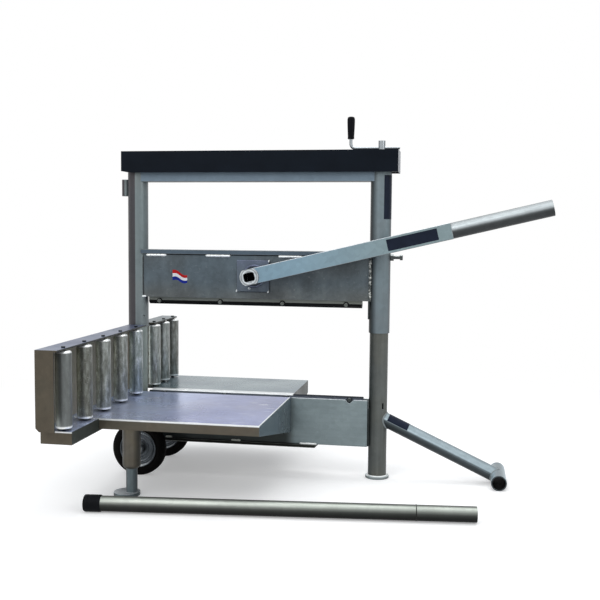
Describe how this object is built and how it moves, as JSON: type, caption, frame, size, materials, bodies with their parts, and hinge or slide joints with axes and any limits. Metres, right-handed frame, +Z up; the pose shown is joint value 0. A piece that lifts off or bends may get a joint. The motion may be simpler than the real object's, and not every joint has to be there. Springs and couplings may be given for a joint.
{
  "type": "masonry block splitter",
  "caption": "Masonry block splitter: sliding portal on two posts, lever-driven upper knife over a fixed lower knife, roller guide rail, wheels and side foot.",
  "frame": {"origin": "middle of the underside of the round foot below the right post, on the floor", "axes": "+X to the right along the knives, +Y to the back, +Z up; the lever and the front table are on the -Y side"},
  "size_m": [1.2709, 0.926, 1.0545],
  "materials": {
    "galvanised": "satin",
    "plain_steel": "satin",
    "roller_zinc": "matte",
    "dark_paint": "satin",
    "knife_steel": "satin",
    "grip_rubber": "matte",
    "tyre_rubber": "matte",
    "nut_brass": "satin"
  },
  "bodies": {
    "base": {"right_post": "galvanised", "left_post": "galvanised", "round_foot": "plain_steel", "lower_plates": "galvanised", "lower_core": "plain_steel", "lower_sole": "galvanised", "lower_knife": "knife_steel", "lower_bolts": "plain_steel", "front_table": "galvanised", "rear_table": "galvanised", "front_rail": "galvanised", "rear_rail": "galvanised", "roller_axles": "plain_steel", "leg_tube": "plain_steel", "side_foot": "galvanised", "axle_block": "plain_steel", "wheel_axle": "plain_steel", "spindle_nuts": "nut_brass"},
    "portal": {"right_sleeve": "galvanised", "left_sleeve": "galvanised", "crossbeam": "galvanised", "head_plate": "plain_steel", "upper_front_plate": "galvanised", "upper_rear_plate": "galvanised", "upper_cap": "galvanised", "bearing_plates": "galvanised", "knife_guides": "plain_steel", "rod_holder": "plain_steel", "lock_screw": "plain_steel", "top_cover": "dark_paint", "cover_screws": "plain_steel", "chain": "plain_steel"},
    "right_drive": {"right_spindle": "plain_steel", "right_sprocket": "plain_steel", "crank_head": "plain_steel", "crank_rod": "plain_steel"},
    "grip": {"crank_grip": "grip_rubber"},
    "left_drive": {"left_spindle": "plain_steel", "left_sprocket": "plain_steel"},
    "lever": {"eccentric": "plain_steel", "lever_tube": "galvanised", "lever_handle": "galvanised"},
    "knife": {"knife_carrier": "plain_steel", "upper_knife": "knife_steel", "upper_bolts": "plain_steel"},
    "leg": {"leg_rod": "plain_steel"},
    "bar": {"extension_bar": "galvanised", "extension_cap": "grip_rubber"},
    "front_wheel": {"front_rim": "galvanised", "front_tyre": "tyre_rubber"},
    "rear_wheel": {"rear_rim": "galvanised", "rear_tyre": "tyre_rubber"},
    "roller_body_1": {"roller_1": "roller_zinc"},
    "roller_body_2": {"roller_2": "roller_zinc"},
    "roller_body_3": {"roller_3": "roller_zinc"},
    "roller_body_4": {"roller_4": "roller_zinc"},
    "roller_body_5": {"roller_5": "roller_zinc"},
    "roller_body_6": {"roller_6": "roller_zinc"},
    "roller_body_7": {"roller_7": "roller_zinc"},
    "roller_body_8": {"roller_8": "roller_zinc"}
  },
  "joints": [
    {"name": "portal_slide", "type": "slide", "parent": "base", "child": "portal", "axis": [0, 0, 1], "range_m": [-0.19, 0.03]},
    {"name": "right_spindle_turn", "type": "hinge", "parent": "portal", "child": "right_drive", "pos_m": [0, 0, 0.9], "axis": [0, 0, 1], "continuous": true},
    {"name": "left_spindle_turn", "type": "hinge", "parent": "portal", "child": "left_drive", "pos_m": [-0.738, 0, 0.9], "axis": [0, 0, 1], "continuous": true},
    {"name": "grip_spin", "type": "hinge", "parent": "right_drive", "child": "grip", "pos_m": [-0.09, 0, 1], "axis": [0, 0, 1], "continuous": true},
    {"name": "lever_swing", "type": "hinge", "parent": "portal", "child": "lever", "pos_m": [-0.369, 0, 0.59], "axis": [0, -1, 0], "range_deg": [-30, 20]},
    {"name": "knife_slide", "type": "slide", "parent": "portal", "child": "knife", "axis": [0, 0, 1], "range_m": [-0.0065, 0.0045]},
    {"name": "leg_slide", "type": "slide", "parent": "base", "child": "leg", "axis": [0, 0, 1], "range_m": [0, 0.05]},
    {"name": "bar_lift", "type": "slide", "parent": "base", "child": "bar", "axis": [0, 0, 1], "range_m": [0, 0.12]},
    {"name": "front_wheel_spin", "type": "hinge", "parent": "base", "child": "front_wheel", "pos_m": [-0.694, -0.1145, 0.08], "axis": [0, 1, 0], "continuous": true},
    {"name": "rear_wheel_spin", "type": "hinge", "parent": "base", "child": "rear_wheel", "pos_m": [-0.694, 0.1145, 0.08], "axis": [0, 1, 0], "continuous": true},
    {"name": "roller_spin_1", "type": "hinge", "parent": "base", "child": "roller_body_1", "pos_m": [-0.71, -0.592, 0.33], "axis": [0, 0, 1], "continuous": true},
    {"name": "roller_spin_2", "type": "hinge", "parent": "base", "child": "roller_body_2", "pos_m": [-0.71, -0.469, 0.33], "axis": [0, 0, 1], "continuous": true},
    {"name": "roller_spin_3", "type": "hinge", "parent": "base", "child": "roller_body_3", "pos_m": [-0.71, -0.346, 0.33], "axis": [0, 0, 1], "continuous": true},
    {"name": "roller_spin_4", "type": "hinge", "parent": "base", "child": "roller_body_4", "pos_m": [-0.71, -0.223, 0.33], "axis": [0, 0, 1], "continuous": true},
    {"name": "roller_spin_5", "type": "hinge", "parent": "base", "child": "roller_body_5", "pos_m": [-0.71, -0.1, 0.33], "axis": [0, 0, 1], "continuous": true},
    {"name": "roller_spin_6", "type": "hinge", "parent": "base", "child": "roller_body_6", "pos_m": [-0.71, 0.06, 0.33], "axis": [0, 0, 1], "continuous": true},
    {"name": "roller_spin_7", "type": "hinge", "parent": "base", "child": "roller_body_7", "pos_m": [-0.71, 0.151, 0.33], "axis": [0, 0, 1], "continuous": true},
    {"name": "roller_spin_8", "type": "hinge", "parent": "base", "child": "roller_body_8", "pos_m": [-0.71, 0.242, 0.33], "axis": [0, 0, 1], "continuous": true}
  ],
  "couplings": [
    {"joint": "right_spindle_turn", "follows": "portal_slide", "rad_per_m": 1256.6},
    {"joint": "left_spindle_turn", "follows": "portal_slide", "rad_per_m": 1256.6},
    {"joint": "knife_slide", "follows": "lever_swing", "m_per_rad": 0.012}
  ]
}
